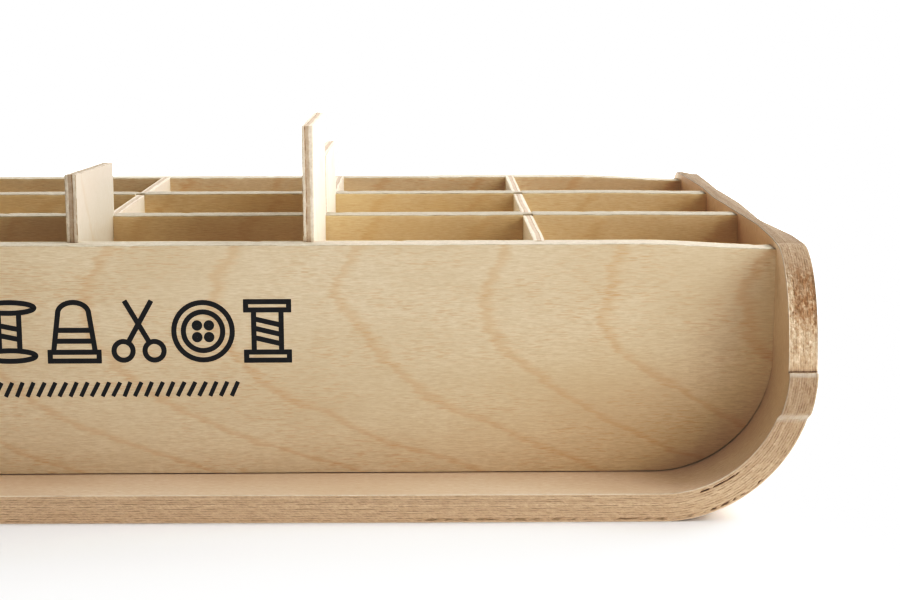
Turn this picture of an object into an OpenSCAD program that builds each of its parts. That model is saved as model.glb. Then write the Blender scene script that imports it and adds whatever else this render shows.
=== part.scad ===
// Bobbin box: a bent plywood tray divided into rows of compartments.
// +X runs along the box, +Y from front to back, +Z up.
// The origin is the centre of the underside.

/* [Shell] */
// Thickness of the bent shell
shell_t = 12; // [9:1:15]
// Inside radius of the two lengthwise bends
bend_r = 51; // [40:5:60]
// How far the shell's floor reaches past the front and back panels
lip = 33; // [24:1:40]
// Rise of the end walls' top edge at the middle of the box
crown = 2; // [0:0.5:4]
// Height of the rounded upper corners of the end walls
corner_h = 47; // [40:1:50]

/* [Compartments] */
// Clear length of the two compartments in the middle of a row
middle_x = 96.2; // [90:0.1:110]
// Clear length of the compartments next to them
next_x = 94.2; // [90:0.1:110]
// Clear length of the compartments at the ends
end_x = 97.6; // [90:0.1:110]
// Clear width of one row
cell_y = 82; // [60:1:100]
// Height of the front and back panels
panel_h = 100; // [90:5:120]
// How far the two row boards stand above the panels
board_rise = 1; // [0:0.5:2]
// Thickness of the panels and boards
board_t = 13; // [9:1:15]

/* [Dividers] */
// Thickness of a divider
divider_t = 4.8; // [3:0.1:6]
// Depth of the upright grooves that hold the dividers
groove_d = 4; // [2:0.5:4]
// Clearance round a divider in its grooves
groove_gap = 0.2; // [0.1:0.05:0.4]
// How far the front row's third divider is pulled up
lift_front_3 = 29; // [0:0.5:60]
// How far the front row's fourth divider is pulled up
lift_front_4 = 49.5; // [0:0.5:60]
// How far the middle row's fourth divider is pulled up
lift_middle_4 = 28.5; // [0:0.5:60]
// Fall of the front row's third divider's top edge, from front to back
slant_front_3 = 3; // [0:0.5:8]

/* [Hidden] */
$fn = 96;
row_names = ["front", "middle", "rear"];
rows = len(row_names);

// The compartments fix the inside length, and the rows the depth.
line_places = [-next_x - middle_x - 2 * divider_t, -middle_x - divider_t, 0,
    middle_x + divider_t, next_x + middle_x + 2 * divider_t];
lines = len(line_places);
pitch_y = cell_y + board_t;
inner_half = line_places[lines - 1] + divider_t / 2 + end_x;
outer_half = inner_half + shell_t;
panel_half = (rows * pitch_y + board_t) / 2;
depth_half = panel_half + lip;
rim_z = shell_t + panel_h;

// The joint between a panel and the shell shows as a fine line.
joint_gap = 0.3;
panel_r = bend_r + 1.5;
divider_h = panel_h - groove_gap;
divider_l = cell_y + 2 * (groove_d - groove_gap);
cut = 1;

// The end walls' front and back edges step where two trimming cuts meet.
band_low = rim_z - 69;
band_high = rim_z - 49;
band_proud = 3.5;
upper_proud = 1;
bevel = 2.5;

function line_x(line) = line_places[line - 1];
function row_y(row) = (row - (rows - 1) / 2) * pitch_y;
function lift(row, line) =
    row == 0 && line == 3 ? lift_front_3
    : row == 0 && line == 4 ? lift_front_4
    : row == 1 && line == 4 ? lift_middle_4
    : 0;
function crown_z(y) = rim_z + crown * (1 - pow(y / panel_half, 2));

// A flat-bottomed outline with two round lower corners
module tub(half, r, low, high) {
    intersection() {
        translate([-half, low]) square([2 * half, high - low]);
        union() {
            translate([-half, low + r]) square([2 * half, high - low]);
            translate([r - half, low]) square([2 * (half - r), high - low]);
            for (side = [-1, 1])
                translate([side * (half - r), low + r]) circle(r);
        }
    }
}

// Extrudes an outline drawn in X and Z, centred on the given Y
module across(y, thickness) {
    translate([0, y + thickness / 2, 0])
        rotate([90, 0, 0])
            linear_extrude(thickness) children();
}

// The shell's side view in Y and Z: the front half's outline, then the same one mirrored
module shell_side() {
    top = [for (k = [1 : 12]) let (y = panel_half * k / 12) [-y, crown_z(y)]];
    corner = [for (a = [84 : -6 : 0])
        [-panel_half - (lip + upper_proud) * cos(a), rim_z - corner_h + corner_h * sin(a)]];
    edge = [
        [-depth_half - upper_proud, band_high],
        [-depth_half - band_proud, band_high],
        [-depth_half - band_proud, band_low + bevel],
        [-depth_half, band_low],
        [-depth_half, -cut]
    ];
    front = concat(top, corner, edge);
    last = len(front) - 1;
    back = [for (k = [0 : last]) let (point = front[last - k]) [-point[0], point[1]]];
    polygon(concat([[0, crown_z(0)]], front, back));
}

module bent_shell() {
    color("burlywood")
        intersection() {
            across(0, 2 * depth_half + 40)
                difference() {
                    tub(outer_half, bend_r + shell_t, 0, rim_z + 2 * crown);
                    tub(inner_half, bend_r, shell_t, rim_z + 2 * crown + cut);
                }
            translate([-outer_half - cut, 0, 0])
                rotate([90, 0, 90])
                    linear_extrude(2 * (outer_half + cut)) shell_side();
        }
}

// One groove at each divider line, cut into the face at face_y
module grooves(face_y) {
    width = divider_t + 2 * groove_gap;
    for (line = [1 : lines])
        translate([line_x(line) - width / 2, face_y - groove_d, shell_t - cut])
            cube([width, 2 * groove_d, panel_h + board_rise + 2 * cut]);
}

// A board that fits between the end walls, with grooves on the faces in face_list
module grooved_board(y, face_list, rise = 0) {
    difference() {
        across(y, board_t)
            tub(inner_half, panel_r, shell_t + joint_gap, rim_z + rise);
        for (face = face_list) grooves(y + face * board_t / 2);
    }
}

module front_panel() {
    color("wheat") grooved_board(board_t / 2 - panel_half, [1]);
}

module back_panel() {
    color("wheat") grooved_board(panel_half - board_t / 2, [-1]);
}

module front_row_board() {
    color("tan") grooved_board(-pitch_y / 2, [-1, 1], board_rise);
}

module rear_row_board() {
    color("tan") grooved_board(pitch_y / 2, [-1, 1], board_rise);
}

// A divider's side view in Y and Z, with its top edge slanted if fall is above 0
module divider_side(fall) {
    polygon([
        [-divider_l / 2, 0],
        [divider_l / 2, 0],
        [divider_l / 2, divider_h - fall],
        [-divider_l / 2, divider_h]
    ]);
}

module divider(row, line) {
    fall = row == 0 && line == 3 ? slant_front_3 : 0;
    color("cornsilk")
        translate([line_x(line) - divider_t / 2, row_y(row), shell_t + groove_gap + lift(row, line)])
            rotate([90, 0, 90])
                linear_extrude(divider_t) divider_side(fall);
}

bent_shell();
front_panel();
back_panel();
front_row_board();
rear_row_board();
for (row = [0 : rows - 1])
    for (line = [1 : lines])
        divider(row, line);
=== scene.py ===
import math

import bpy
import numpy as np
from mathutils import Matrix, Vector, noise
from mathutils.geometry import delaunay_2d_cdt


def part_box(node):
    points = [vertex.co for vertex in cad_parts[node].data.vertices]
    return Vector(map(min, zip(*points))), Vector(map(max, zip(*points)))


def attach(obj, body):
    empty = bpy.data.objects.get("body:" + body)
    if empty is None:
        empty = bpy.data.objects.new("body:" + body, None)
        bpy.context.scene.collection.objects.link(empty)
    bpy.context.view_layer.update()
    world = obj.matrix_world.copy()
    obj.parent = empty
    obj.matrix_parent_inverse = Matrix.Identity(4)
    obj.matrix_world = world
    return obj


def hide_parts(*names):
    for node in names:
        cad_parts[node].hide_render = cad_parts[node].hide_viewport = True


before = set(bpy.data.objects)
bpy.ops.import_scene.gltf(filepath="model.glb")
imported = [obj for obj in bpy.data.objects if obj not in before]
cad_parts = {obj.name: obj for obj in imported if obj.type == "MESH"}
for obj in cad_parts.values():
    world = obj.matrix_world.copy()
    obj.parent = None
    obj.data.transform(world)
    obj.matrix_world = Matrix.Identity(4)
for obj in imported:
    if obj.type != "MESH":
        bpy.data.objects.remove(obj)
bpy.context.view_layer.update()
print("frame loaded")

# sizes that every piece shares, from the frame
panelLow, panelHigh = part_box("front_panel")
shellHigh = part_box("bent_shell")[1]
innerHalf = panelHigh.x
panelFace = -panelLow.y
rimHeight = panelHigh.z
shellThickness = shellHigh.x - innerHalf
dividerNodes = [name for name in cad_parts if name.startswith("divider_")]


def smoothNoise(points, scale, seed=0.0):
    shift = Vector((seed * 7.31, seed * 3.17, seed * 5.93))
    return np.array([noise.noise(Vector(p) * scale + shift) for p in points])


def fade(value, low, high):
    t = np.clip((np.asarray(value, float) - low) / (high - low), 0, 1)
    return t * t * (3 - 2 * t)


def meshObject(name, points, faces, materials, materialIndex=None, sharpAngle=35):
    mesh = bpy.data.meshes.new(name)
    mesh.from_pydata([tuple(p) for p in points], [], [tuple(int(i) for i in f) for f in faces])
    for material in materials:
        mesh.materials.append(material)
    if materialIndex is not None:
        mesh.polygons.foreach_set("material_index", np.asarray(materialIndex, np.int32))
    mesh.polygons.foreach_set("use_smooth", np.ones(len(mesh.polygons), bool))
    mesh.update()
    mesh.set_sharp_from_angle(angle=math.radians(sharpAngle))
    piece = bpy.data.objects.new(name, mesh)
    bpy.context.scene.collection.objects.link(piece)
    return piece


def setAttribute(piece, name, values):
    values = np.asarray(values, np.float32)
    if values.ndim == 1:
        piece.data.attributes.new(name, "FLOAT", "POINT").data.foreach_set("value", values)
    else:
        piece.data.attributes.new(name, "FLOAT_VECTOR", "POINT").data.foreach_set("vector", values.ravel())


def pointsInside(outline, points):
    inside = np.zeros(len(points), bool)
    x, y = points[:, 0], points[:, 1]
    for (x0, y0), (x1, y1) in zip(outline, np.roll(outline, -1, axis=0)):
        if y0 == y1:
            continue
        crosses = (y0 > y) != (y1 > y)
        inside ^= crosses & (x < x0 + (y - y0) * (x1 - x0) / (y1 - y0))
    return inside


def fillRegion(outline, spacing, margin):
    # triangles inside an outline: its own points first, then a staggered grid of inner points
    low, high = outline.min(0), outline.max(0)
    rows = []
    for j, v in enumerate(np.arange(low[1] + spacing / 2, high[1], spacing * 0.87)):
        row = np.arange(low[0] + spacing * (0.5 + 0.5 * (j % 2)), high[0], spacing)
        rows.append(np.column_stack([row, np.full(len(row), v)]))
    grid = np.vstack(rows)
    grid = grid[pointsInside(outline, grid)]
    keep = np.ones(len(grid), bool)
    for corner in outline:
        keep &= ((grid - corner) ** 2).sum(1) > margin * margin
    grid = grid[keep]
    everything = [Vector(p) for p in np.vstack([outline, grid])]
    found = delaunay_2d_cdt(everything, [], [list(range(len(outline)))], 1, 1e-7)
    newToOld = [origin[0] for origin in found[3]]
    triangles = [[newToOld[i] for i in face] for face in found[2]]
    return grid, triangles


def capFaces(triangles, count, base, first, reverse):
    # an outline of count points starts at base, and its inner points start at first
    places = [[base + i if i < count else first + i - count for i in triangle] for triangle in triangles]
    return [place[::-1] for place in places] if reverse else places


def addNode(tree, kind, inputs=None, **settings):
    node = tree.nodes.new(kind)
    for key, value in settings.items():
        setattr(node, key, value)
    for key, value in (inputs or {}).items():
        if isinstance(value, bpy.types.NodeSocket):
            tree.links.new(value, node.inputs[key])
        else:
            node.inputs[key].default_value = value
    return node


def maths(tree, operation, a, b=0.0):
    return addNode(tree, "ShaderNodeMath", {0: a, 1: b}, operation=operation).outputs[0]


def times(tree, first, *others):
    for other in others:
        first = maths(tree, "MULTIPLY", first, other)
    return first


def remap(tree, value, fromLow, fromHigh, toLow=0.0, toHigh=1.0, smooth=False):
    limits = {0: value, 1: fromLow, 2: fromHigh, 3: toLow, 4: toHigh}
    kind = "SMOOTHSTEP" if smooth else "LINEAR"
    return addNode(tree, "ShaderNodeMapRange", limits, interpolation_type=kind).outputs[0]


def axes(tree, vector):
    return addNode(tree, "ShaderNodeSeparateXYZ", {0: vector}).outputs


def joined(tree, x, y, z):
    return addNode(tree, "ShaderNodeCombineXYZ", {0: x, 1: y, 2: z}).outputs[0]


def stretched(tree, vector, scale, place=(0, 0, 0)):
    settings = {"Vector": vector, "Scale": scale, "Location": place}
    return addNode(tree, "ShaderNodeMapping", settings).outputs[0]


def cloud(tree, vector, scale=(1, 1, 1), place=(0, 0, 0), detail=2.0, roughness=0.5):
    settings = {"Vector": stretched(tree, vector, scale, place), "Scale": 1.0, "Detail": detail,
                "Roughness": roughness}
    return addNode(tree, "ShaderNodeTexNoise", settings).outputs[0]


def blendColour(tree, factor, a, b, mode="MIX"):
    node = addNode(tree, "ShaderNodeMix", data_type="RGBA", blend_type=mode, clamp_factor=True)
    for index, value in ((0, factor), (6, a), (7, b)):
        if isinstance(value, bpy.types.NodeSocket):
            tree.links.new(value, node.inputs[index])
        else:
            node.inputs[index].default_value = value if index == 0 else (*value, 1)
    return node.outputs[2]


def readNumber(tree, name):
    return addNode(tree, "ShaderNodeAttribute", attribute_name=name).outputs["Fac"]


def readVector(tree, name):
    return addNode(tree, "ShaderNodeAttribute", attribute_name=name).outputs["Vector"]


def newMaterial(name):
    material = bpy.data.materials.new(name)
    material.use_nodes = True
    tree = material.node_tree
    tree.nodes.clear()
    output = tree.nodes.new("ShaderNodeOutputMaterial")
    shader = tree.nodes.new("ShaderNodeBsdfPrincipled")
    tree.links.new(shader.outputs[0], output.inputs["Surface"])
    return material, tree, shader


def finishMaterial(tree, shader, colour, roughness, height, bumpDepth):
    bump = addNode(tree, "ShaderNodeBump", {"Height": height, "Distance": bumpDepth, "Strength": 1.0})
    tree.links.new(colour, shader.inputs["Base Color"])
    tree.links.new(roughness, shader.inputs["Roughness"])
    tree.links.new(bump.outputs[0], shader.inputs["Normal"])


# the faces of each kind of plywood: base colour, darker grain, the colour and strength of its growth
# rings, how strong its flecks are, and its roughness
faceLooks = {
    "panelFace": {"pale": (0.83, 0.705, 0.54), "dark": (0.665, 0.535, 0.375), "ring": (0.64, 0.415, 0.235),
                  "ringAmount": 0.33, "fleck": 0.80, "gloss": 0.42},
    "boardFace": {"pale": (0.85, 0.715, 0.52), "dark": (0.72, 0.56, 0.34), "ring": (0.66, 0.46, 0.24),
                  "ringAmount": 0.25, "fleck": 0.45, "gloss": 0.50},
    "dividerFace": {"pale": (0.83, 0.765, 0.655), "dark": (0.76, 0.67, 0.54), "ring": (0.72, 0.56, 0.38),
                    "ringAmount": 0.30, "fleck": 0.25, "gloss": 0.50},
    "shellFace": {"pale": (0.88, 0.735, 0.60), "dark": (0.69, 0.53, 0.385), "ring": (0.66, 0.48, 0.32),
                  "ringAmount": 0.20, "fleck": 0.35, "gloss": 0.48},
}
veneer = {
    "ringGap": 0.0565,
    "ringStart": 0.004,
    "ringWobble": 0.17,
    "ringTeeth": 0.035,
    "archMiddle": 0.090,
    "archAbove": 0.000020,
    "archBelow": 0.00001075,
    "archBelowPower": 2.13,
    # painted shade multiplied into the panels towards the right end and the left side
    "rightEndShade": (0.90, 0.84, 0.76),
    "leftEndShade": (0.84, 0.82, 0.78),
    # painted shade multiplied into the shell's inner end walls and bend lips
    "endWallShade": (0.74, 0.66, 0.56),
    "bendLipShade": (0.87, 0.845, 0.775),
    "bumpDepth": 0.00007,
    "specular": 0.35,
}


def ringAmount(tree, vector, seed):
    # broad nested arches, as a rotary-cut veneer shows, closing to the left
    warp = cloud(tree, vector, (16, 34, 16), (seed, 0, seed), detail=3.0)
    teeth = cloud(tree, vector, (45, 900, 45), (seed, 2, 0), detail=1.0)
    along, across = axes(tree, stretched(tree, vector, (1, 1, 1), (-veneer["ringStart"], 0, 0)))[:2]
    off = times(tree, maths(tree, "SUBTRACT", across, veneer["archMiddle"]), 1000.0)
    under = maths(tree, "MAXIMUM", times(tree, off, -1.0), 0.0)
    below = times(tree, maths(tree, "POWER", under, veneer["archBelowPower"]), veneer["archBelow"])
    above = times(tree, maths(tree, "POWER", maths(tree, "MAXIMUM", off, 0.0), 2.0), veneer["archAbove"])
    arch = maths(tree, "ADD", above, below)
    field = maths(tree, "DIVIDE", maths(tree, "SUBTRACT", along, arch), veneer["ringGap"])
    for noiseValue, low, high, reach in ((warp, 0.2, 0.8, "ringWobble"), (teeth, 0.3, 0.7, "ringTeeth")):
        field = maths(tree, "ADD", field, remap(tree, noiseValue, low, high, -veneer[reach], veneer[reach]))
    phase = maths(tree, "FRACT", field)
    rise = remap(tree, phase, 0.935, 0.99, smooth=True)
    trail = remap(tree, phase, 0.0, 0.11, 1.0, 0.0, smooth=True)
    return maths(tree, "MAXIMUM", rise, trail)


def veneerColour(tree, vector, look, seed=0.0):
    # vector: x along the grain, y across it, z through the board, in metres
    ring = ringAmount(tree, vector, seed)
    patches = cloud(tree, vector, (14, 30, 14), (3 + seed, 1, 0), detail=3.0)
    fibres = cloud(tree, vector, (290, 2400, 500), (0, seed, 0), roughness=0.6)
    fleck = remap(tree, cloud(tree, vector, (230, 2700, 600), (seed, 5, 0), detail=0.0), 0.58, 0.70)
    gate = remap(tree, cloud(tree, vector, (25, 60, 25), (seed, 8, 2)), 0.36, 0.62)
    colour = blendColour(tree, remap(tree, fibres, 0.30, 0.70, 0.05, 0.80), look["pale"], look["dark"])
    colour = blendColour(tree, remap(tree, patches, 0.40, 0.66, 0.0, 0.45), colour, look["dark"])
    colour = blendColour(tree, times(tree, ring, look["ringAmount"]), colour, look["ring"])
    fleckFactor = times(tree, fleck, remap(tree, ring, 0.0, 1.0, 0.55, 0.75), gate, look["fleck"])
    colour = blendColour(tree, fleckFactor, colour, look["ring"])
    return colour, fibres, fleck


def applyToneAndShade(tree, colour):
    # this attribute holds how light the wood is painted in that place: partly its own tone, partly painted
    # light and shade
    toneAndShade = readNumber(tree, "toneAndShade")
    return blendColour(tree, 1.0, colour, joined(tree, toneAndShade, toneAndShade, toneAndShade), "MULTIPLY")


def shadePanelEnds(tree, vector, colour):
    # painted shade: the panels are darker and browner towards the right end and the lower corner, next to
    # the end wall, and duller to the left
    along, up = axes(tree, vector)[:2]
    rightShadeMask = times(tree, remap(tree, along, 0.08, 0.27, smooth=True),
                  remap(tree, up, 0.095, 0.02, 0.25, 1.0, smooth=True))
    leftShadeMask = times(tree, remap(tree, along, 0.02, -0.10, smooth=True),
                 remap(tree, up, 0.02, 0.10, 0.4, 1.0, smooth=True))
    colour = blendColour(tree, rightShadeMask, colour, veneer["rightEndShade"], "MULTIPLY")
    return blendColour(tree, leftShadeMask, colour, veneer["leftEndShade"], "MULTIPLY")


def shadeInnerWalls(tree, vector, colour):
    # painted shade on the shell's inner face from the bends up, darkest between the panels
    along, across, depth = axes(tree, vector)
    up = remap(tree, maths(tree, "ABSOLUTE", along), 0.258, 0.328, smooth=True)
    up = times(tree, up, remap(tree, depth, 0.004, 0.008, 1.0, 0.0))
    between = times(tree, up, remap(tree, maths(tree, "ABSOLUTE", across), 0.150, 0.142, smooth=True))
    colour = blendColour(tree, between, colour, veneer["endWallShade"], "MULTIPLY")
    return blendColour(tree, maths(tree, "SUBTRACT", up, between), colour, veneer["bendLipShade"], "MULTIPLY")


def faceMaterial(name, look, seed=0.0, onSheet=True, shading=None, withToneAndShade=False):
    # a piece that was bent or turned carries its own "sheet" attribute; a panel lies in the X and Z plane
    material, tree, shader = newMaterial(name)
    if onSheet:
        vector = readVector(tree, "sheet")
    else:
        x, y, z = axes(tree, addNode(tree, "ShaderNodeTexCoord").outputs["Object"])
        vector = joined(tree, x, z, y)
    colour, fibres, fleck = veneerColour(tree, vector, look, seed)
    if shading:
        colour = shading(tree, vector, colour)
    if withToneAndShade:
        colour = applyToneAndShade(tree, colour)
    roughness = remap(tree, fibres, 0.3, 0.7, look["gloss"], look["gloss"] + 0.16)
    height = maths(tree, "SUBTRACT", fibres, times(tree, fleck, 0.5))
    finishMaterial(tree, shader, colour, roughness, height, veneer["bumpDepth"])
    shader.inputs["Specular IOR Level"].default_value = veneer["specular"]
    return material


# the cut edges: two wood colours, the glue line between plies, how many plies, and how strong the line
# and the grain are
edgeLooks = {
    "shellEdge": {"pale": (0.86, 0.675, 0.50), "dark": (0.58, 0.415, 0.28), "line": (0.34, 0.23, 0.15),
                  "plies": 12, "lineAmount": 0.55, "grain": 0.55},
    "boardEdge": {"pale": (0.74, 0.665, 0.54), "dark": (0.52, 0.45, 0.355), "line": (0.38, 0.30, 0.22),
                  "plies": 9, "lineAmount": 0.45, "grain": 0.45},
    "dividerEdge": {"pale": (0.92, 0.83, 0.70), "dark": (0.70, 0.58, 0.45), "line": (0.42, 0.21, 0.09),
                    "plies": 3, "lineAmount": 0.75, "grain": 0.55},
}
cutEdge = {
    "endGrain": (0.50, 0.36, 0.25),
    "stain": (0.43, 0.245, 0.13),
    # painted highlight on the torn grain's raised tips, and painted shade in its pits
    "tornTipHighlight": (0.98, 0.82, 0.63),
    "tornPitShade": (0.48, 0.29, 0.17),
    # pale fuzz, also used as painted highlight on the arrises, the ledge and the bevel
    "fuzz": (0.93, 0.83, 0.72),
    # near-black, for open glue gaps, and as painted shade in crevices and joints
    "gapAndShade": (0.055, 0.035, 0.025),
    "bumpDepth": 0.00035,
    "tornBump": 3.6,
    "specular": 0.2,
}


def wearColour(tree, colour, coarse, crumbs):
    # stained and torn grain, with painted highlights on the torn tips and painted shade in the pits, and
    # pale arrises that are partly fuzz and partly painted highlight, where the shell's attributes say so
    stain, grit = readNumber(tree, "stain"), readNumber(tree, "grit")
    bare = times(tree, grit, remap(tree, stain, 0.0, 0.7, 1.0, 0.35))
    for factor, paint in (
        (times(tree, stain, remap(tree, coarse, 0.35, 0.62, 0.3, 1.0)), "stain"),
        (times(tree, remap(tree, crumbs, 0.50, 0.66, 0.0, 0.70), bare), "tornTipHighlight"),
        (times(tree, remap(tree, crumbs, 0.46, 0.32, 0.0, 0.60), grit), "tornPitShade"),
        (times(tree, readNumber(tree, "pale"), remap(tree, coarse, 0.30, 0.60, 0.45, 1.0)), "fuzz"),
    ):
        colour = blendColour(tree, factor, colour, cutEdge[paint])
    return colour


def edgeMaterial(name, look, along="sheet", worn=False, threePly=False):
    # the attribute named by along holds a place on the edge in metres; "ply" runs from 0 to 1 through it
    material, tree, shader = newMaterial(name)
    ply, place = readNumber(tree, "ply"), readVector(tree, along)
    wander = remap(tree, cloud(tree, place, (35, 35, 35)), 0.3, 0.7, -0.22, 0.22)
    count = maths(tree, "ADD", times(tree, ply, look["plies"]), wander)
    step = maths(tree, "FLOOR", count)
    perPly = addNode(tree, "ShaderNodeTexWhiteNoise", {"W": step}, noise_dimensions="1D").outputs["Value"]
    inPly = maths(tree, "FRACT", count)
    line = maths(tree, "MINIMUM", inPly, maths(tree, "SUBTRACT", 1.0, inPly))
    line = remap(tree, line, 0.0, 0.16, 1.0, 0.0, smooth=True)
    line = times(tree, line, remap(tree, cloud(tree, place, (260, 900, 260)), 0.38, 0.60))
    if threePly:
        line = times(tree, line, remap(tree, ply, 0.42, 0.58, 0.25, 1.0))
    pores = cloud(tree, place, (900, 1400, 900), detail=3.0, roughness=0.7)
    coarse = cloud(tree, place, (240, 420, 240), detail=3.0, roughness=0.6)
    grain = remap(tree, pores, 0.38, 0.66, 0.0, look["grain"])
    colour = blendColour(tree, grain, look["pale"], look["dark"])
    colour = blendColour(tree, remap(tree, coarse, 0.45, 0.70, 0.0, 0.5), colour, look["dark"])
    colour = blendColour(tree, times(tree, perPly, 0.35), colour, look["dark"])
    if threePly:
        # the middle ply runs across the others, so it shows its darker end grain
        core = times(tree, remap(tree, count, 0.92, 1.05), remap(tree, count, 2.25, 2.10), 0.62)
        colour = blendColour(tree, core, colour, cutEdge["endGrain"])
    colour = blendColour(tree, times(tree, line, look["lineAmount"]), colour, look["line"])
    height = maths(tree, "ADD", pores, times(tree, coarse, 1.5))
    height = maths(tree, "SUBTRACT", height, times(tree, line, 0.8))
    if worn:
        crumbs = cloud(tree, place, (520, 640, 600), roughness=0.55)
        colour = wearColour(tree, colour, coarse, crumbs)
        torn = times(tree, crumbs, readNumber(tree, "grit"), cutEdge["tornBump"])
        height = maths(tree, "ADD", height, torn)
    colour = blendColour(tree, readNumber(tree, "gapAndShade"), applyToneAndShade(tree, colour), cutEdge["gapAndShade"])
    roughness = remap(tree, pores, 0.3, 0.7, 0.62, 0.9)
    finishMaterial(tree, shader, colour, roughness, height, cutEdge["bumpDepth"])
    shader.inputs["Specular IOR Level"].default_value = cutEdge["specular"]
    return material


panelFaceMat = faceMaterial("panelVeneer", faceLooks["panelFace"], onSheet=False, shading=shadePanelEnds)
boardFaceMat = faceMaterial("boardVeneer", faceLooks["boardFace"], 4.0, onSheet=False)
dividerFaceMat = faceMaterial("dividerVeneer", faceLooks["dividerFace"], 2.0, withToneAndShade=True)
shellFaceMat = faceMaterial("shellVeneer", faceLooks["shellFace"], 7.0, shading=shadeInnerWalls)
shellEdgeMat = edgeMaterial("shellPlyEdge", edgeLooks["shellEdge"], "edge", worn=True)
boardEdgeMat = edgeMaterial("boardPlyEdge", edgeLooks["boardEdge"])
dividerEdgeMat = edgeMaterial("dividerPlyEdge", edgeLooks["dividerEdge"], threePly=True)
print("finishes made")


# the bent shell: one sheet of many plies, bent into a U, with its trimmed edge all round
shell = {
    "bendRadius": 0.051,
    "lip": 0.033,
    "crown": shellHigh.z - rimHeight,
    "cornerHeight": 0.047,
    "bandLow": rimHeight - 0.069,
    "bandHigh": rimHeight - 0.049,
    "bandProud": 0.0035,
    "upperProud": 0.001,
    "bevel": 0.0025,
    "arris": 0.0005,
    "layers": 27,
    "meshStep": 0.0055,
    "edgeStep": 0.0013,
    "sawn": 0.00012,
    "plyWaver": 0.00016,
    "fuzz": 0.00013,
    "torn": 0.00034,
    "tornGrain": 0.00062,
    "openGlue": 0.0008,
}
bendStart = innerHalf - shell["bendRadius"]
bendCentreZ = shellThickness + shell["bendRadius"]
lipFront = panelFace + shell["lip"]
upperFront = lipFront + shell["upperProud"]
bandFront = lipFront + shell["bandProud"]


def sheetX(z, depth):
    radius = shell["bendRadius"] + depth
    fall = np.clip((bendCentreZ - z) / radius, 0, 1)
    return np.where(z >= bendCentreZ, innerHalf + depth, bendStart + radius * np.sqrt(1 - fall * fall))


def spread(low, high, step):
    return np.linspace(0, 1, max(2, int(round(abs(high - low) / step)) + 1))[:-1]


def quarterOutline(depth):
    # one quarter of the trimmed edge, from the middle of an end wall's top to the middle of the floor's
    # front, with the unit direction that points out of the edge and a roughness weight for each point
    step = shell["edgeStep"]
    radius = shell["bendRadius"] + depth
    bandTop, bandFoot = shell["bandHigh"], shell["bandLow"] + shell["bevel"]
    parts = []
    t = spread(0, panelFace, step)
    y = panelFace * t
    z = rimHeight + shell["crown"] * (1 - t * t)
    parts.append((y, z, sheetX(z, depth), 0 * t, 0 * t + 1, 0.55 + 0 * t))
    reach = shell["lip"] + shell["upperProud"]
    a = (1 - spread(0, 0.062, step)) * math.pi / 2
    y = panelFace + reach * np.cos(a)
    z = rimHeight - shell["cornerHeight"] * (1 - np.sin(a))
    ny, nz = np.cos(a) / reach, np.sin(a) / shell["cornerHeight"]
    size = np.hypot(ny, nz)
    rough = 0.55 + 0.45 * fade(rimHeight - z, 0.002, 0.012)
    parts.append((y, z, sheetX(z, depth), ny / size, nz / size, rough))
    corner = rimHeight - shell["cornerHeight"]
    for y0, z0, y1, z1, ny, nz, rough, cuts in (
        (upperFront, corner, upperFront, bandTop, 1, 0, 1.0, 3),
        (upperFront, bandTop, bandFront, bandTop, 0, 1, 0.2, 3),
        (bandFront, bandTop, bandFront, bandFoot, 1, 0, 0.25, 16),
        (bandFront, bandFoot, lipFront, shell["bandLow"], 0.7, -0.7, 0.2, 5),
    ):
        t = np.linspace(0, 1, cuts + 1)[:-1]
        y, z = y0 + (y1 - y0) * t, z0 + (z1 - z0) * t
        parts.append((y, z, sheetX(z, depth), ny + 0 * t, nz + 0 * t, rough + 0 * t))
    start = math.acos((bendCentreZ - shell["bandLow"]) / radius)
    a = start * (1 - spread(0, 0.075, 0.0011))
    z = bendCentreZ - radius * np.cos(a)
    parts.append((lipFront + 0 * a, z, bendStart + radius * np.sin(a), 1 + 0 * a, 0 * a, 0.45 + 0 * a))
    t = spread(0, bendStart, 0.0016)
    floorZ = shellThickness - depth + 0 * t
    parts.append((lipFront + 0 * t, floorZ, bendStart * (1 - t), 1 + 0 * t, 0 * t, 0.45 + 0 * t))
    found = [np.concatenate([part[k] for part in parts]) for k in range(6)]
    track = np.column_stack(found[:3])
    run = np.concatenate([[0], np.cumsum(np.linalg.norm(np.diff(track, axis=0), axis=1))])
    return found + [run]


def wholeOutline(depth):
    # the quarter, then its mirror images, as one closed loop seen from outside
    quarter = quarterOutline(depth)
    centre = (lipFront, shellThickness - depth, 0.0, 1.0, 0.0, 0.45, quarter[6][-1] + 0.001)
    out = []
    for k, values in enumerate(quarter):
        middle, top, body = np.array([centre[k]]), values[:1], values[1:]
        front = -1 if k in (0, 3) else 1
        side = -1 if k == 2 else 1
        out.append(np.concatenate([
            top * (k > 0), front * body, front * middle, side * front * body[::-1],
            side * top, side * body, middle, body[::-1]]))
    return out


def unroll(x, z, depth):
    radius = shell["bendRadius"] + depth
    side = np.sign(x)
    x = np.abs(x)
    angle = np.arctan2(x - bendStart, bendCentreZ - z)
    flat = np.where(x <= bendStart, x, bendStart + radius * np.clip(angle, 0, math.pi / 2))
    return side * np.where(z > bendCentreZ, bendStart + radius * math.pi / 2 + z - bendCentreZ, flat)


def reroll(u, depth):
    radius = shell["bendRadius"] + depth
    side = np.sign(u)
    u = np.abs(u)
    angle = np.clip((u - bendStart) / radius, 0, math.pi / 2)
    above = np.maximum(u - bendStart - radius * math.pi / 2, 0)
    x = np.minimum(u, bendStart) + radius * np.sin(angle)
    z = bendCentreZ - radius * np.cos(angle) + above
    return side * x, z


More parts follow.
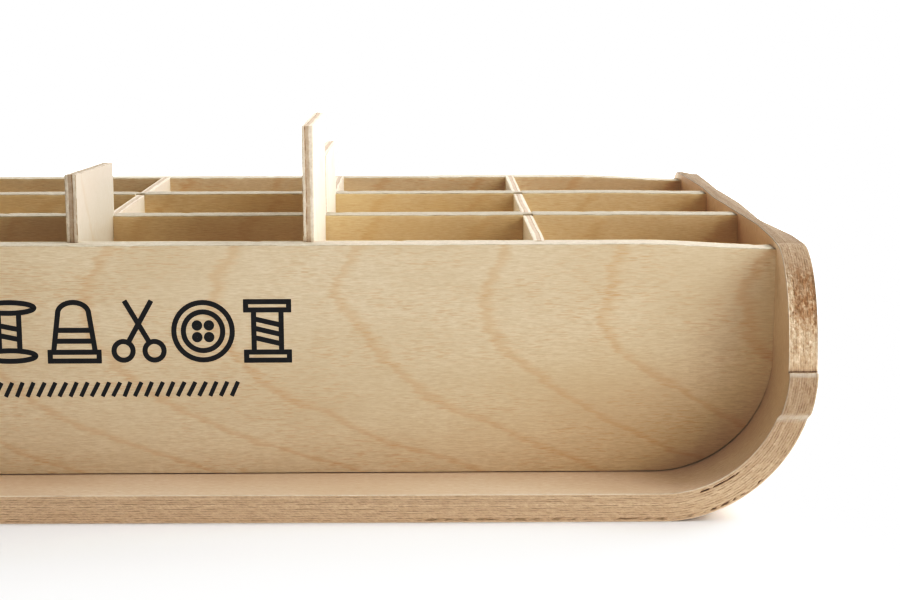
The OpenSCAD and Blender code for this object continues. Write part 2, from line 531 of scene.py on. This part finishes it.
def wallTopLift(x, y, depth):
    # hand-sanded top: the outer side is rounded down unevenly, and the inner arris rises and falls
    y = np.where(x > 0, y, -y)
    outer = np.interp(y, [-0.150, -0.125, -0.092, -0.049, 0.006, 0.079, 0.150],
                      [0.0002, 0.0006, 0.0024, 0.0046, 0.0030, 0.0030, 0.0000])
    inner = np.interp(y, [-0.150, -0.140, -0.105, -0.056, 0.018, 0.052, 0.139],
                      [0.0, 0.0008, 0.0015, 0.0002, -0.0009, 0.0005, 0.0012])
    return inner * (1 - fade(depth, 0.002, 0.010)) - outer * fade(depth, 0.0035, 0.0125)


def lipSkew(x):
    # the floor's front edge was trimmed a little out of square
    return -0.0022 * fade(x, -0.10, 0.24) * fade(-x, -0.306, -0.25)


# two glue lines opened a little while the sheet was bent: which ply, how near it, from and to which x,
# how far they opened and how raggedly
openGlue = (
    (1.7, 0.18, 0.262, 0.284, 0.90, 0.16),
    (10.6, 0.24, 0.264, 0.2905, 0.95, 0.16),
    (10.6, 0.24, 0.15, 0.262, 0.55, 0.25),
)
# how light the edge is painted at each height, from the underside to the rim: partly the wood's own tone,
# partly painted light and shade fitted height by height
edgeHeights = [0.0, 0.012, 0.030, 0.041, 0.047, 0.0625, 0.064, 0.080, 0.097, 0.107, 0.112]
edgeToneAndShade = [1.09, 1.0, 0.83, 0.80, 0.72, 0.72, 1.02, 1.04, 0.84, 0.66, 0.60]


def openedGlue(points, plyNumber):
    x, y, z = points.T
    right = (x > 0) & (y < -panelFace) & (z < 0.045)
    dashes = smoothNoise(points, 420, 5) + 0.3 * smoothNoise(points, 120, 6)
    gap = np.zeros(len(points))
    for ply, reach, low, high, amount, ragged in openGlue:
        if abs(plyNumber - ply) < reach:
            gap = np.where(right & (x > low) & (x < high), amount * fade(dashes, 0.0, ragged), gap)
    return gap


def edgeMarks(y, z, depth, rim, gap, torn):
    # what the edge's finish reads at each point: where it is open, stained, torn or fuzzy, where shade and
    # highlights are painted, and its tone
    side, fromBand = np.abs(y), z - shell["bandHigh"]
    # painted shadow: a dark line in the crevice just above the proud band
    creviceShade = (np.abs(fromBand) < 0.0004) & (side < upperFront + 0.0005)
    patch = fade(-np.abs(z - 0.093), -0.016, -0.005) * fade(side, 0.150, 0.165)
    patch = patch * fade(depth, 0.001, 0.0045)
    streak = fade(-np.abs(z - 0.055), -0.006, 0.0) * fade(depth, 0.005, 0.009)
    # painted highlight, partly pale fuzz: the ledge above the band, the bevel below it and the arrises are
    # made paler
    ledgeHighlight = fade(-np.abs(fromBand + 0.0005), -0.0011, -0.0003) * (side > upperFront + 0.001)
    bevel = fade(-np.abs(z - shell["bandLow"] - 0.0008), -0.0026, -0.0006) * (side > panelFace)
    # the rim's top between the panels is painted darker
    darkerRimTop = fade(z, rimHeight - 0.001, rimHeight + 0.0003) * (side < panelFace + 0.001)
    return {
        "ply": depth / shellThickness + 0 * y,
        "gapAndShade": np.maximum(np.clip(gap, 0, 1) * 0.9, 0.75 * creviceShade),
        "stain": patch * 0.85 + 0.25 * streak,
        "grit": torn,
        "pale": np.clip(0.9 * ledgeHighlight + 0.7 * bevel + 0.75 * rim, 0, 0.9),
        "toneAndShade": np.interp(z, edgeHeights, edgeToneAndShade) * (1 - 0.20 * darkerRimTop),
    }


def edgeLayer(depth, fromFace):
    # the trimmed edge's points at one depth, where each lies on the flat sheet, and its marks
    y, z, x, ny, nz, rough, run = wholeOutline(depth)
    points = np.column_stack([x, y, z])
    plyNumber = depth / shellThickness * edgeLooks["shellEdge"]["plies"]
    alongPly = smoothNoise(points, 55, math.floor(plyNumber) + 1)
    fuzz = smoothNoise(points, 650, 11)
    grain = smoothNoise(points, 620, 23) + 0.5 * smoothNoise(points, 300, 29)
    roughZone = fade(rough, 0.5, 0.95) * fade(z, 0.060, 0.074) * fade(-z, -0.112, -0.097)
    sink = shell["sawn"] + shell["plyWaver"] * alongPly + shell["fuzz"] * fuzz
    sink = sink + roughZone * (shell["torn"] + shell["tornGrain"] * np.clip(-grain, -0.5, 0.6))
    sink = sink * np.where(rough < 0.3, 0.45, 1.0)
    gap = openedGlue(points, plyNumber)
    sink = sink + shell["openGlue"] * gap
    if fromFace < 2:
        sink = sink * 0.15
        gap = gap * 0
    sink = np.maximum(sink, 0) + shell["arris"] * (1.0, 0.3, 0.0)[min(fromFace, 2)]
    points[:, 1] -= ny * sink
    points[:, 2] -= nz * sink
    points[:, 2] += wallTopLift(x, y, depth) * fade(z, rimHeight - 0.010, rimHeight - 0.001)
    skew = np.where((y < -panelFace - 0.02) & (z < 0.06), lipSkew(x), 0.0)
    points[:, 1] += skew * fade(-z, -0.047, -0.030)
    flat = np.column_stack([unroll(x, z, depth), y, depth + 0 * y])
    torn = roughZone * (fromFace > 0) * np.clip(1.0 + 0.6 * grain, 0.4, 1)
    marks = edgeMarks(y, z, depth, fromFace < 2, gap, torn)
    marks["edge"] = np.column_stack([run, depth + 0 * y, 0 * y])
    return points, flat, marks


def makeShell():
    depths = np.linspace(0, shellThickness, shell["layers"])
    depths = np.insert(depths, [1, len(depths) - 1], [0.00015, shellThickness - 0.00015])
    rowsOut, sheetOut, marks = [], [], {}
    for layer, depth in enumerate(depths):
        points, flat, found = edgeLayer(depth, min(layer, len(depths) - 1 - layer))
        rowsOut.append(points)
        sheetOut.append(flat)
        for name, values in found.items():
            marks.setdefault(name, []).append(values)
    count = len(rowsOut[0])
    print("shell edge points", count, "layers", len(depths))
    points = list(np.vstack(rowsOut))
    faces, kinds = [], []
    for layer in range(len(depths) - 1):
        a, b = layer * count, (layer + 1) * count
        for i in range(count):
            j = (i + 1) % count
            faces.append((a + i, b + i, b + j, a + j))
            kinds.append(1)
    sheet = list(np.vstack(sheetOut))
    for layer, depth in ((0, 0.0), (len(depths) - 1, shellThickness)):
        edge = rowsOut[layer]
        flat = np.column_stack([unroll(edge[:, 0], edge[:, 2], depth), edge[:, 1]])
        grid, triangles = fillRegion(flat, shell["meshStep"], 0.0022)
        x, z = reroll(grid[:, 0], depth)
        first = len(points)
        points.extend(np.column_stack([x, grid[:, 1], z]))
        faces += capFaces(triangles, count, layer * count, first, layer > 0)
        kinds += [0] * len(triangles)
        sheet.extend((u, v, depth) for u, v in grid)
    piece = meshObject("bentShell", points, faces, [shellFaceMat, shellEdgeMat], kinds)
    setAttribute(piece, "sheet", np.array(sheet))
    for name, rows in marks.items():
        values = np.concatenate(rows)
        values = np.concatenate([values, np.zeros((len(points) - len(values),) + values.shape[1:])])
        setAttribute(piece, name, values)
    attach(piece, "root")
    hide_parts("bent_shell")
    return piece


bentShell = makeShell()
print("shell made", len(bentShell.data.polygons), "faces")


# panels and row boards: thick plywood with rounded lower corners and upright grooves
board = {
    "cornerRadius": 0.0513,
    "grooveDepth": 0.004,
    "grooveWidth": 0.00490,
    "droop": 0.0023,
    "droopFrom": 0.058,
    "arris": 0.0003,
    "step": 0.0022,
    "chipIn": 0.00045,
    "chipDown": 0.0003,
    "waves": 0.00012,
    "wornTop": 0.0002,
    "raisedGrain": 0.00010,
    "panelTone": 1.06,
    "rowTone": 0.84,
}
lineX = sorted({round(sum(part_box(n)[k].x for k in (0, 1)) / 2, 5) for n in dividerNodes})


def boardSection(halfThickness, grooveSides):
    # the board's outline seen from above, anticlockwise from its front left corner; x then y
    step, halfGroove = board["step"], board["grooveWidth"] / 2
    plainX = np.arange(-innerHalf, innerHalf + 1e-6, 2 * innerHalf / round(2 * innerHalf / step))
    points = []
    for side in (-1, 1):
        face = side * halfThickness
        if side not in grooveSides:
            run = [(x, face) for x in plainX]
        else:
            floor = side * (halfThickness - board["grooveDepth"])
            cursor, run = -innerHalf, []
            for centre in lineX + [None]:
                low = innerHalf if centre is None else centre - halfGroove
                steps = max(1, round((low - cursor) / step))
                run += [(cursor + (low - cursor) * k / steps, face) for k in range(steps + 1)]
                if centre is not None:
                    cursor = centre + halfGroove
                    run += [(low, floor + side * 0.002), (low, floor), (centre, floor), (cursor, floor),
                            (cursor, floor + side * 0.002)]
        points += run if side < 0 else run[::-1]
    return np.array(points)


def sectionNormals(section):
    before, after = section - np.roll(section, 1, 0), np.roll(section, -1, 0) - section
    a = np.column_stack([before[:, 1], -before[:, 0]])
    b = np.column_stack([after[:, 1], -after[:, 0]])
    a /= np.maximum(np.linalg.norm(a, axis=1, keepdims=True), 1e-9)
    b /= np.maximum(np.linalg.norm(b, axis=1, keepdims=True), 1e-9)
    return a + b - np.where((np.abs((a * b).sum(1)) > 0.9)[:, None], b, 0)


def boardLevels(low, high):
    # from the underside up: each level's height, and how far the rounded ends and the arris draw in there
    radius, arris = board["cornerRadius"], board["arris"]
    centreZ = low.z + radius
    levels = [(centreZ - radius * math.cos(a), radius * math.sin(a) - radius, 0.0)
              for a in np.linspace(0.06, math.pi / 2, 26)[:-1]]
    levels += [(z, 0.0, 0.0) for z in np.linspace(centreZ, high.z - 0.004, 12)]
    return levels + [(high.z - 0.0015, 0.0, 0.0), (high.z - arris, 0.0, 0.0),
                     (high.z - arris * 0.3, 0.0, arris * 0.3), (high.z, 0.0, arris)]


def droopAt(x, droops):
    return droops * board["droop"] * fade(np.abs(x), innerHalf - board["droopFrom"], innerHalf)


def makeBoard(name, node, slotName, grooveSides, droops, seed):
    low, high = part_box(node)
    half = (high.y - low.y) / 2
    section = boardSection(half, grooveSides)
    normals = sectionNormals(section)
    onSide = np.abs(section[:, 1]) > half - 1e-6
    radius = board["cornerRadius"]
    bend = innerHalf - radius
    levels = boardLevels(low, high)
    rows = []
    for z, pull, inset in levels:
        x, y = section[:, 0].copy(), section[:, 1].copy()
        past = np.maximum(np.abs(x) - bend, 0) / radius
        x = np.sign(x) * (np.minimum(np.abs(x), bend) + past * (radius + pull))
        x = x - normals[:, 0] * inset
        y = y - normals[:, 1] * inset
        chips = smoothNoise(np.column_stack([x, y, 0 * x]), 130, seed)
        top = fade(z, high.z - 0.002, high.z - 0.0002)
        y = y - normals[:, 1] * board["chipIn"] * fade(chips, 0.25, 0.6) * top * onSide
        waves = board["waves"] * smoothNoise(np.column_stack([x, y, 0 * x]), 24, seed + 3)
        zs = z + (waves - droopAt(section[:, 0], droops)) * fade(z, high.z - 0.045, high.z)
        zs = zs - board["wornTop"] * fade(z, high.z - 0.01, high.z)
        zs = zs - board["chipDown"] * fade(chips, 0.2, 0.6) * top
        rows.append(np.column_stack([x, y + (high.y + low.y) / 2, zs]))
    count = len(section)
    points = list(np.vstack(rows))
    faces, kinds = [], []
    flatSide = onSide & (np.abs(section[:, 0]) < innerHalf - 1e-6)
    for r in range(len(levels) - 1):
        a, b = r * count, (r + 1) * count
        for i in range(count):
            j = (i + 1) % count
            faces.append((a + i, a + j, b + j, b + i))
            kinds.append(0 if (flatSide[i] or flatSide[j]) and r < len(levels) - 3 else 1)
    for r, spacing, margin in ((0, 0.012, 0.004), (len(levels) - 1, 0.0021, 0.0011)):
        grid, triangles = fillRegion(rows[r][:, :2], spacing, margin)
        first = len(points)
        z = levels[0][0] + 0 * grid[:, 0]
        if r:
            # the top follows the same droop as its rim
            lift = smoothNoise(np.column_stack([grid, 0 * grid[:, 0]]), 260, seed + 9)
            z = high.z - board["wornTop"] - droopAt(grid[:, 0], droops) + board["raisedGrain"] * lift
        points.extend(np.column_stack([grid, z]))
        faces += capFaces(triangles, count, r * count, first, r == 0)
        kinds += [1] * len(triangles)
    everyPoint = np.array(points)
    isPanel = slotName == "panel_plywood"
    materials = [panelFaceMat if isPanel else boardFaceMat, boardEdgeMat]
    piece = meshObject(name, points, faces, materials, kinds)
    setAttribute(piece, "sheet", everyPoint + np.array([seed, 0, 0]))
    setAttribute(piece, "ply", np.clip((everyPoint[:, 1] - low.y) / (high.y - low.y), 0, 1))
    setAttribute(piece, "toneAndShade", np.full(len(points), board["panelTone" if isPanel else "rowTone"]))
    # painted shade: the top of each board's right end darkens where it meets the shell wall
    endJointShade = fade(everyPoint[:, 0], innerHalf - 0.004, innerHalf - 0.0005)
    endJointShade = endJointShade * fade(everyPoint[:, 2], high.z - 0.006, high.z - 0.003)
    setAttribute(piece, "gapAndShade", 0.5 * endJointShade * (smoothNoise(everyPoint, 700, 2) > -0.1))
    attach(piece, "root")
    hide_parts(node)
    return piece


boards = [
    makeBoard("frontPanel", "front_panel", "panel_plywood", (1,), 1.0, 1.0),
    makeBoard("backPanel", "back_panel", "panel_plywood", (-1,), 1.0, 2.0),
    makeBoard("frontRowBoard", "front_row_board", "board_plywood", (-1, 1), 0.2, 3.0),
    makeBoard("rearRowBoard", "rear_row_board", "board_plywood", (-1, 1), 0.2, 4.0),
]
print("boards made", [len(b.data.polygons) for b in boards])


# dividers: three-ply plates, made by one geometry tree
divider = {
    "alongCuts": 44,
    "upCuts": 50,
    "throughCuts": 13,
    "arris": 0.00022,
    "roughness": 0.00030,
    "chipSize": 420.0,
    # painted light and shade: some dividers are made lighter or darker to stand for how the light falls on
    # them
    "litAndShadedTones": {"divider_front_3": 0.80, "divider_front_4": 1.10, "divider_middle_4": 1.10},
}


def geometryTree(name, sockets):
    tree = bpy.data.node_groups.new(name, "GeometryNodeTree")
    for title, kind in [("Geometry", "Geometry")] + list(sockets.items()):
        tree.interface.new_socket(title, in_out="INPUT", socket_type="NodeSocket" + kind)
    tree.interface.new_socket("Geometry", in_out="OUTPUT", socket_type="NodeSocketGeometry")
    return tree, tree.nodes.new("NodeGroupInput").outputs


def endTree(tree, geometry):
    tree.links.new(geometry, tree.nodes.new("NodeGroupOutput").inputs[0])
    return tree


def vectorMaths(tree, operation, a, b):
    return addNode(tree, "ShaderNodeVectorMath", {0: a, 1: b}, operation=operation).outputs[0]


def dividerTree():
    tree, given = geometryTree("dividerPlate", {
        "Size": "Vector", "Middle": "Vector", "Fall": "Float", "Flip": "Float", "Seed": "Float",
        "Tone": "Float", "Face Material": "Material", "Edge Material": "Material"})
    plate = addNode(tree, "GeometryNodeMeshCube", {
        "Size": given["Size"], "Vertices X": divider["throughCuts"], "Vertices Y": divider["alongCuts"],
        "Vertices Z": divider["upCuts"]}).outputs["Mesh"]
    place = tree.nodes.new("GeometryNodeInputPosition").outputs[0]
    part, size = axes(tree, place), axes(tree, given["Size"])
    share = [maths(tree, "DIVIDE", part[k], times(tree, size[k], 0.5)) for k in range(3)]
    fromLow = [maths(tree, "ADD", times(tree, value, 0.5), 0.5) for value in share]
    nearFace, nearEnd, nearTop = (
        remap(tree, maths(tree, "ABSOLUTE", value), start, 0.999, smooth=True)
        for value, start in zip(share, (0.96, 0.985, 0.985)))
    ply = maths(tree, "ABSOLUTE", maths(tree, "SUBTRACT", given["Flip"], fromLow[0]))
    shift = joined(tree, given["Seed"], given["Seed"], 0.0)
    spot = vectorMaths(tree, "ADD", place, shift)
    rag = addNode(tree, "ShaderNodeTexNoise", {
        "Vector": spot, "Scale": divider["chipSize"], "Detail": 3.0}).outputs[0]
    tear = remap(tree, rag, 0.45, 0.72, smooth=True)
    rounded = times(tree, nearFace, divider["arris"])
    sink = maths(tree, "ADD", times(tree, tear, divider["roughness"]), rounded)
    moveY = times(tree, sink, nearEnd, maths(tree, "SIGN", share[1]), -1.0)
    moveZ = times(tree, sink, nearTop, maths(tree, "SIGN", share[2]), -1.0)
    slope = times(tree, fromLow[1], given["Fall"], maths(tree, "POWER", fromLow[2], 6.0))
    move = joined(tree, 0.0, moveY, maths(tree, "SUBTRACT", moveZ, slope))
    ragged = times(tree, tear, 0.12, maths(tree, "MAXIMUM", nearEnd, nearTop))
    alongGrain = maths(tree, "ADD", part[2], given["Seed"])
    sheet = joined(tree, alongGrain, maths(tree, "ADD", part[1], 0.07), part[0])
    made = plate
    for name, value in (("ply", ply), ("gapAndShade", ragged), ("sheet", sheet), ("toneAndShade", given["Tone"])):
        kind = "FLOAT_VECTOR" if name == "sheet" else "FLOAT"
        settings = {"Geometry": made, "Name": name, "Value": value}
        made = addNode(tree, "GeometryNodeStoreNamedAttribute", settings,
                       data_type=kind, domain="POINT").outputs[0]
    onFace = addNode(tree, "FunctionNodeCompare", {0: maths(tree, "ABSOLUTE", share[0]), 1: 0.97},
                     data_type="FLOAT", operation="GREATER_THAN").outputs[0]
    for settings in ({"Material": given["Edge Material"]},
                     {"Selection": onFace, "Material": given["Face Material"]}):
        made = addNode(tree, "GeometryNodeSetMaterial", {"Geometry": made, **settings}).outputs[0]
    offset = vectorMaths(tree, "ADD", move, given["Middle"])
    made = addNode(tree, "GeometryNodeSetPosition", {"Geometry": made, "Offset": offset}).outputs[0]
    return endTree(tree, addNode(tree, "GeometryNodeRealizeInstances", {"Geometry": made}).outputs[0])


def bakeTree(name, tree, values, sharpAngle=40):
    mesh = bpy.data.meshes.new(name + "Seed")
    maker = bpy.data.objects.new(name + "Maker", mesh)
    bpy.context.scene.collection.objects.link(maker)
    modifier = maker.modifiers.new("tree", "NODES")
    modifier.node_group = tree
    sockets = {s.name: s.identifier for s in tree.interface.items_tree if s.in_out == "INPUT"}
    for key, value in values.items():
        modifier[sockets[key]] = value
    maker.update_tag()
    view = bpy.context.evaluated_depsgraph_get()
    view.update()
    result = bpy.data.meshes.new_from_object(maker.evaluated_get(view))
    result.name = name
    bpy.data.objects.remove(maker)
    piece = bpy.data.objects.new(name, result)
    bpy.context.scene.collection.objects.link(piece)
    result.polygons.foreach_set("use_smooth", np.ones(len(result.polygons), bool))
    result.set_sharp_from_angle(angle=math.radians(sharpAngle))
    return piece


def makeDividers():
    tree = dividerTree()
    made = []
    for index, node in enumerate(sorted(dividerNodes)):
        low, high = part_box(node)
        row, line = node.split("_")[1:]
        rear = max(v.co.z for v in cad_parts[node].data.vertices if v.co.y > high.y - 0.001)
        piece = bakeTree("divider" + row.capitalize() + line, tree, {
            "Size": tuple(high - low),
            "Middle": tuple((high + low) / 2),
            "Fall": high.z - rear,
            "Flip": float(index % 3 == 0),
            "Seed": 0.37 * index + 0.11,
            "Tone": divider["litAndShadedTones"].get(node, 1.0),
            "Face Material": dividerFaceMat,
            "Edge Material": dividerEdgeMat,
        })
        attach(piece, node)
        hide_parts(node)
        made.append(piece)
    return made


dividers = makeDividers()
print("dividers made", len(dividers), len(dividers[0].data.polygons))


# the printed mark: a row of sewing notions in thin lines, and a row of stitches below it
mark = {
    "stroke": 0.0021,
    "ink": 0.00008,
    "low": 0.061,
    "high": 0.0885,
    "pitch": 0.0275,
    "rightMost": 0.0835,
    "stitchLow": 0.0462,
    "stitchHigh": 0.0530,
    "stitchPitch": 0.0046,
    "stitchReach": 0.069,
    "stitchWide": 0.0017,
    "stitchTilt": 0.45,
    "stitchJitter": 0.05,
}


def inkMaterial():
    material, tree, shader = newMaterial("blackInk")
    place = addNode(tree, "ShaderNodeTexCoord").outputs["Object"]
    speck = cloud(tree, place, (500, 500, 900))
    colour = blendColour(tree, remap(tree, speck, 0.4, 0.7), (0.012, 0.012, 0.014), (0.030, 0.028, 0.028))
    finishMaterial(tree, shader, colour, remap(tree, speck, 0.3, 0.7, 0.45, 0.6), speck, 0.00002)
    return material


inkMat = inkMaterial()


def ring(cx, cz, rx, rz=None, start=0.0, end=360.0, steps=48):
    rz = rz or rx
    angles = np.radians(np.linspace(start, end, steps + 1))
    return [(cx + rx * math.cos(a), cz + rz * math.sin(a)) for a in angles]


def closedBox(halfWide, low, high):
    return [(-halfWide, high), (halfWide, high), (halfWide, low), (-halfWide, low), (-halfWide, high)]


def notionShapes():
    # each notion as lines in a square from -1 to 1; a closed line ends where it starts
    spool = [closedBox(0.72, 0.72, 1), closedBox(0.72, -1, -0.72)]
    spool += [[(x, 0.72), (x, -0.72)] for x in (-0.46, 0.46)]
    spool += [[(-0.46, z), (0.46, z - 0.22)] for z in (0.42, 0.10, -0.22)]
    thread = [(0.68 + 0.25 * math.sin(3.1 * t) - t, 0.76 - 1.5 * t * t + 0.35 * math.sin(6 * t))
              for t in np.linspace(0, 1, 26)]
    needle = [[(-0.80, -1), (0.50, 0.55)], ring(0.68, 0.76, 0.17, 0.30, steps=28), thread]
    button = [ring(0, 0, 0.98), ring(0, 0, 0.66)]
    button += [ring(x, z, 0.09, steps=16) for z in (0.20, -0.20) for x in (-0.20, 0.20)]
    thimble = [[(-0.52, 0.62), (-0.70, -0.70), (0.70, -0.70), (0.52, 0.62)],
               ring(0, 0.62, 0.52, 0.38, 0, 180, 24), closedBox(0.82, -1, -0.70),
               [(-0.60, 0.05), (0.60, 0.05)], [(-0.64, -0.32), (0.64, -0.32)]]
    scissors = [ring(x, -0.66, 0.32, steps=30) for x in (-0.52, 0.52)]
    scissors += [[(x, -0.38), (tip, 1)] for x, tip in ((-0.36, 0.42), (0.36, -0.42))]
    bobbin = [ring(0, z, 0.86, 0.18) for z in (0.82, -0.82)]
    bobbin += [[(x, 0.62), (x, -0.62)] for x in (-0.34, 0.34)]
    bobbin += [[(-0.34, z), (0.34, z - 0.14)] for z in (0.22, -0.12)]
    return [spool, button, scissors, thimble, bobbin, needle, button]


def ribbon(line, width, points, faces, front):
    # a flat closed strip along a line, with mitred corners
    line = np.array(line)
    closed = np.linalg.norm(line[0] - line[-1]) < 1e-6
    if closed:
        line = line[:-1]
    count = len(line)
    ahead, behind = np.roll(line, -1, 0) - line, line - np.roll(line, 1, 0)
    if not closed:
        ahead[-1], behind[0] = behind[-1], ahead[0]
    ahead = ahead / np.linalg.norm(ahead, axis=1, keepdims=True)
    behind = behind / np.linalg.norm(behind, axis=1, keepdims=True)
    if not closed:
        line[0] = line[0] - ahead[0] * width * 0.35
        line[-1] = line[-1] + behind[-1] * width * 0.35
    sides = np.column_stack([-(ahead + behind)[:, 1], (ahead + behind)[:, 0]])
    sides = sides / np.linalg.norm(sides, axis=1, keepdims=True)
    cosine = np.maximum((sides * np.column_stack([-ahead[:, 1], ahead[:, 0]])).sum(1), 0.5)
    sides = sides * (width / 2 / cosine)[:, None]
    first = len(points)
    for y in (front, front + mark["ink"]):
        for edge in (line + sides, line - sides):
            points.extend((x, y, z) for x, z in edge)
    a, b, c, d = (first + k * count for k in range(4))
    for i in range(count if closed else count - 1):
        j = (i + 1) % count
        faces.extend([(a + i, b + i, b + j, a + j), (c + j, d + j, d + i, c + i),
                      (a + j, c + j, c + i, a + i), (b + i, d + i, d + j, b + j)])
    if not closed:
        e = count - 1
        faces.extend([(a, c, d, b), (b + e, d + e, c + e, a + e)])


def makeMark():
    points, faces = [], []
    half = (mark["high"] - mark["low"]) / 2
    scale = half - mark["stroke"] / 2
    for index, lines in enumerate(notionShapes()):
        centre = mark["rightMost"] - index * mark["pitch"]
        for order, line in enumerate(lines):
            shape = [(centre + x * scale, mark["low"] + half + z * scale) for x, z in line]
            ribbon(shape, mark["stroke"], points, faces, -panelFace - mark["ink"] - order * 4e-6)
    piece = meshObject("notionMark", points, faces, [inkMat])
    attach(piece, "root")
    return piece


def stitchTree():
    tree, given = geometryTree("stitchRow", {
        "Count": "Int", "Start": "Vector", "Step": "Vector", "Size": "Vector", "Tilt": "Vector",
        "Ink": "Material"})
    row = addNode(tree, "GeometryNodeMeshLine", {
        "Count": given["Count"], "Start Location": given["Start"], "Offset": given["Step"]}).outputs[0]
    stitch = addNode(tree, "GeometryNodeMeshCube", {"Size": given["Size"]}).outputs[0]
    reach = mark["stitchJitter"]
    jitter = addNode(tree, "FunctionNodeRandomValue", {0: (-reach,) * 3, 1: (reach,) * 3, "Seed": 4},
                     data_type="FLOAT_VECTOR").outputs[0]
    turn = vectorMaths(tree, "ADD", vectorMaths(tree, "MULTIPLY", jitter, (0, 1, 0)), given["Tilt"])
    placed = addNode(tree, "GeometryNodeInstanceOnPoints", {
        "Points": row, "Instance": stitch, "Rotation": turn}).outputs[0]
    real = addNode(tree, "GeometryNodeRealizeInstances", {0: placed}).outputs[0]
    inked = addNode(tree, "GeometryNodeSetMaterial", {"Geometry": real, "Material": given["Ink"]})
    return endTree(tree, inked.outputs[0])


def makeStitches():
    count = int(2 * mark["stitchReach"] / mark["stitchPitch"]) + 1
    middle = (mark["stitchLow"] + mark["stitchHigh"]) / 2
    piece = bakeTree("stitchRow", stitchTree(), {
        "Count": count,
        "Start": (-mark["stitchReach"], -panelFace - mark["ink"] / 2, middle),
        "Step": (mark["stitchPitch"], 0.0, 0.0),
        "Size": (mark["stitchWide"], mark["ink"], mark["stitchHigh"] - mark["stitchLow"]),
        "Tilt": (0.0, mark["stitchTilt"], 0.0),
        "Ink": inkMat,
    })
    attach(piece, "root")
    return piece


makeMark()
makeStitches()
print("mark made")


# floor, lights and camera
stage = {
    "glow": 1.1,
    "rings": [(0.5, 0.0), (1.0, 0.0), (2.0, 0.0), (4.0, 0.0), (8.0, 0.0), (9.0, 0.12), (9.4, 0.45)],
    "around": 64,
    "target": (0.1, 0, 0.06),
    "worldLight": 0.19,
}


def makeFloor():
    # a white round floor with a low rim far out; it glows behind the object and in the distance
    material, tree, shader = newMaterial("whiteFloor")
    place = addNode(tree, "ShaderNodeTexCoord").outputs["Object"]
    colour = blendColour(tree, cloud(tree, place, (3, 3, 3)), (0.97, 0.97, 0.97), (0.99, 0.99, 0.99))
    far = addNode(tree, "ShaderNodeVectorMath", {0: place}, operation="LENGTH").outputs["Value"]
    behind = axes(tree, place)[1]
    glow = maths(tree, "MAXIMUM", remap(tree, behind, 0.35, 1.0, 0.0, stage["glow"], smooth=True),
                 remap(tree, far, 1.2, 2.4, 0.0, stage["glow"], smooth=True))
    tree.links.new(colour, shader.inputs["Base Color"])
    shader.inputs["Roughness"].default_value = 0.95
    shader.inputs["Specular IOR Level"].default_value = 0.1
    shader.inputs["Emission Color"].default_value = (1, 1, 1, 1)
    tree.links.new(glow, shader.inputs["Emission Strength"])
    around = stage["around"]
    points = [(0.0, 0.0, 0.0)]
    for radius, height in stage["rings"]:
        points += [(radius * math.cos(a), radius * math.sin(a), height)
                   for a in np.linspace(0, 2 * math.pi, around, endpoint=False)]
    faces = [(0, 1 + i, 1 + (i + 1) % around) for i in range(around)]
    for k in range(len(stage["rings"]) - 1):
        a, b = 1 + k * around, 1 + (k + 1) * around
        faces += [(a + i, b + i, b + (i + 1) % around, a + (i + 1) % around) for i in range(around)]
    floor = meshObject("roundFloor", points, faces, [material])
    return floor


def makeLight(name, place, target, size, power, colour=(1, 1, 1)):
    data = bpy.data.lights.new(name, "AREA")
    data.shape = "RECTANGLE"
    data.size, data.size_y = size
    data.energy = power
    data.color = colour
    light = bpy.data.objects.new(name, data)
    bpy.context.scene.collection.objects.link(light)
    light.visible_camera = False
    direction = Vector(target) - Vector(place)
    turn = direction.to_track_quat("-Z", "Y").to_matrix().to_4x4()
    light.matrix_world = Matrix.Translation(place) @ turn
    return light


camera = {
    "place": (0.1516, -0.89045, 0.21468),
    "down": 9.706,
    "right": 0.756,
    "roll": -0.103,
    "lens": 70.61,
}


def makeCamera():
    data = bpy.data.cameras.new("camera")
    data.lens, data.sensor_width = camera["lens"], 36.0
    data.clip_start = 0.01
    eye = bpy.data.objects.new("camera", data)
    bpy.context.scene.collection.objects.link(eye)
    eye.matrix_world = (Matrix.Translation(camera["place"])
                        @ Matrix.Rotation(math.radians(-camera["right"]), 4, "Z")
                        @ Matrix.Rotation(math.radians(90 - camera["down"]), 4, "X")
                        @ Matrix.Rotation(math.radians(camera["roll"]), 4, "Z"))
    bpy.context.scene.camera = eye


makeFloor()
makeCamera()
for name, spot, size, power in (
    ("highRightSoftbox", (1.2, 0.0, 1.1), 0.9, 12.6),
    ("frontRightSoftbox", (1.2, -0.9, 0.5), 0.9, 5.1),
    ("topSoftbox", (0.1, 0.0, 1.6), 0.9, 2.6),
    ("leftSoftbox", (-1.4, 0.0, 0.5), 0.9, 0.5),
    ("backSoftbox", (0.1, 1.4, 1.0), 0.9, 1.9),
):
    makeLight(name, spot, stage["target"], (size, size), power)
makeLight("backGlow", (0.0, 1.45, 1.25), (0.0, 0.0, 1.25), (8.0, 2.4), 66.0)
world = bpy.data.worlds.new("studio")
world.use_nodes = True
sky = world.node_tree.nodes["Background"].inputs
sky[0].default_value = (1, 1, 1, 1)
sky[1].default_value = stage["worldLight"]
bpy.context.scene.world = world
view = bpy.context.scene.view_settings
view.view_transform = "Standard"
view.use_curve_mapping = True
view.curve_mapping.extend = "HORIZONTAL"
tone = view.curve_mapping.curves[3].points
for x, y in ((0.1, 0.055), (0.2, 0.175), (0.3, 0.33), (0.4, 0.5), (0.5, 0.655), (0.6, 0.80), (0.68, 0.93),
             (0.76, 1.0)):
    tone.new(x, y)
view.curve_mapping.update()
print("stage made")
